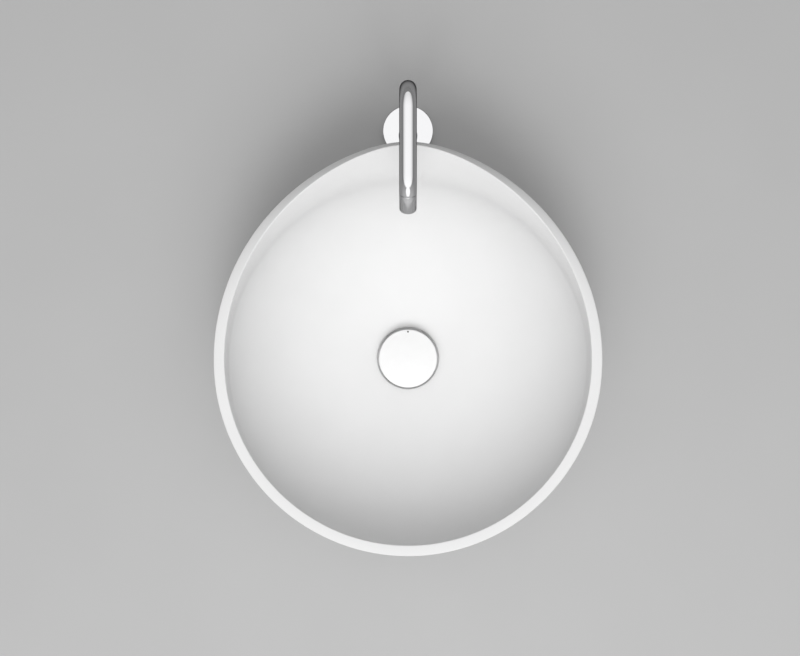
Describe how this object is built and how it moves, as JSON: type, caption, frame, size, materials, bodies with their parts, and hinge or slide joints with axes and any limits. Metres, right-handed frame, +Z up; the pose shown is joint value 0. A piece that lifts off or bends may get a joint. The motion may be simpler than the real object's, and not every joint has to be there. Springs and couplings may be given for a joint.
{
  "type": "vessel basin with mixer tap",
  "caption": "Round countertop vessel basin with a raised, flared lip at the back, a white domed click waste, and a deck tap with a bent swivel spout and a joystick control.",
  "frame": {"origin": "on the counter top, at the drain's axis", "axes": "+Z up, -Y towards the user, +Y towards the tap, +X to the user's right"},
  "size_m": [0.4202, 0.526, 0.3636],
  "materials": {
    "basin_shell": "matt white glaze",
    "foot_seal": "black, dull",
    "waste_body": "polished chrome on brass",
    "flange_gasket": "black, dull",
    "waste_rubber_washer": "black, dull",
    "waste_slip_washer": "white polythene",
    "waste_backnut": "machined",
    "click_cartridge": "white moulded",
    "return_spring": "stainless spring wire",
    "waste_cap": "white glaze",
    "plug_carrier": "machined",
    "plug_seal": "black, dull",
    "click_stem": "turned stainless steel",
    "latch_cam": "white moulded",
    "tap_escutcheon": "polished chrome",
    "escutcheon_gasket": "black, dull",
    "valve_body": "machined",
    "cartridge_housing": "white moulded",
    "fixed_ceramic_disc": "lapped alumina",
    "moving_ceramic_disc": "lapped alumina",
    "disc_seal": "black, dull",
    "spout_bearing_washer": "white, plain",
    "spout_collar": "polished chrome",
    "spout_tube": "polished chrome",
    "outlet_nozzle": "polished chrome",
    "aerator_insert": "white moulded",
    "aerator_washer": "black, dull",
    "swivel_sleeve": "machined",
    "sleeve_oring_upper": "black, greased",
    "sleeve_oring_lower": "black, greased",
    "lever_guide": "white moulded",
    "pivot_pin": "ground stainless steel",
    "lever_spindle": "turned stainless steel",
    "lever_dome": "polished chrome",
    "lever_pin": "polished chrome",
    "tap_rubber_washer": "black, dull",
    "tap_steel_washer": "stamped stainless steel",
    "tap_ring_nut": "machined",
    "hot_inlet": "machined",
    "cold_inlet": "machined"
  },
  "bodies": {
    "fixed_set": {"basin_shell": "basin_shell", "foot_seal": "foot_seal", "waste_body": "waste_body", "flange_gasket": "flange_gasket", "waste_rubber_washer": "waste_rubber_washer", "waste_slip_washer": "waste_slip_washer", "waste_backnut": "waste_backnut", "click_cartridge": "click_cartridge", "return_spring": "return_spring", "tap_escutcheon": "tap_escutcheon", "escutcheon_gasket": "escutcheon_gasket", "valve_body": "valve_body", "cartridge_housing": "cartridge_housing", "fixed_ceramic_disc": "fixed_ceramic_disc", "disc_seal": "disc_seal", "spout_bearing_washer": "spout_bearing_washer", "spout_collar": "spout_collar", "tap_rubber_washer": "tap_rubber_washer", "tap_steel_washer": "tap_steel_washer", "tap_ring_nut": "tap_ring_nut", "hot_inlet": "hot_inlet", "cold_inlet": "cold_inlet"},
    "waste_plug": {"waste_cap": "waste_cap", "plug_carrier": "plug_carrier", "plug_seal": "plug_seal", "click_stem": "click_stem", "latch_cam": "latch_cam"},
    "tap_spout": {"spout_tube": "spout_tube", "outlet_nozzle": "outlet_nozzle", "aerator_insert": "aerator_insert", "aerator_washer": "aerator_washer", "swivel_sleeve": "swivel_sleeve", "sleeve_oring_upper": "sleeve_oring_upper", "sleeve_oring_lower": "sleeve_oring_lower"},
    "control_guide": {"lever_guide": "lever_guide", "pivot_pin": "pivot_pin"},
    "control_disc": {"moving_ceramic_disc": "moving_ceramic_disc"},
    "control_lever": {"lever_spindle": "lever_spindle", "lever_dome": "lever_dome", "lever_pin": "lever_pin"}
  },
  "joints": [
    {"name": "cap_lift", "type": "slide", "parent": "fixed_set", "child": "waste_plug", "axis": [0, 0, 1], "range_m": [-0.009, 0], "stiffness_N_per_m": 800, "springref_m": 0.01, "deforming": ["return_spring"]},
    {"name": "spout_swivel", "type": "hinge", "parent": "fixed_set", "child": "tap_spout", "pos_m": [0, 0.272, 0], "axis": [0, 0, 1], "range_deg": [-40, 40]},
    {"name": "lever_turn", "type": "hinge", "parent": "fixed_set", "child": "control_guide", "pos_m": [0, 0.294, 0], "axis": [0, 0, 1], "range_deg": [-45, 45]},
    {"name": "lever_tilt", "type": "hinge", "parent": "control_guide", "child": "control_lever", "pos_m": [0, 0.294, 0.004], "axis": [-1, 0, 0], "range_deg": [0, 25]},
    {"name": "disc_slide", "type": "slide", "parent": "control_guide", "child": "control_disc", "axis": [0, -1, 0], "range_m": [0, 0.0035]}
  ],
  "couplings": [
    {"joint": "disc_slide", "follows": "lever_tilt", "m_per_rad": 0.00794}
  ]
}
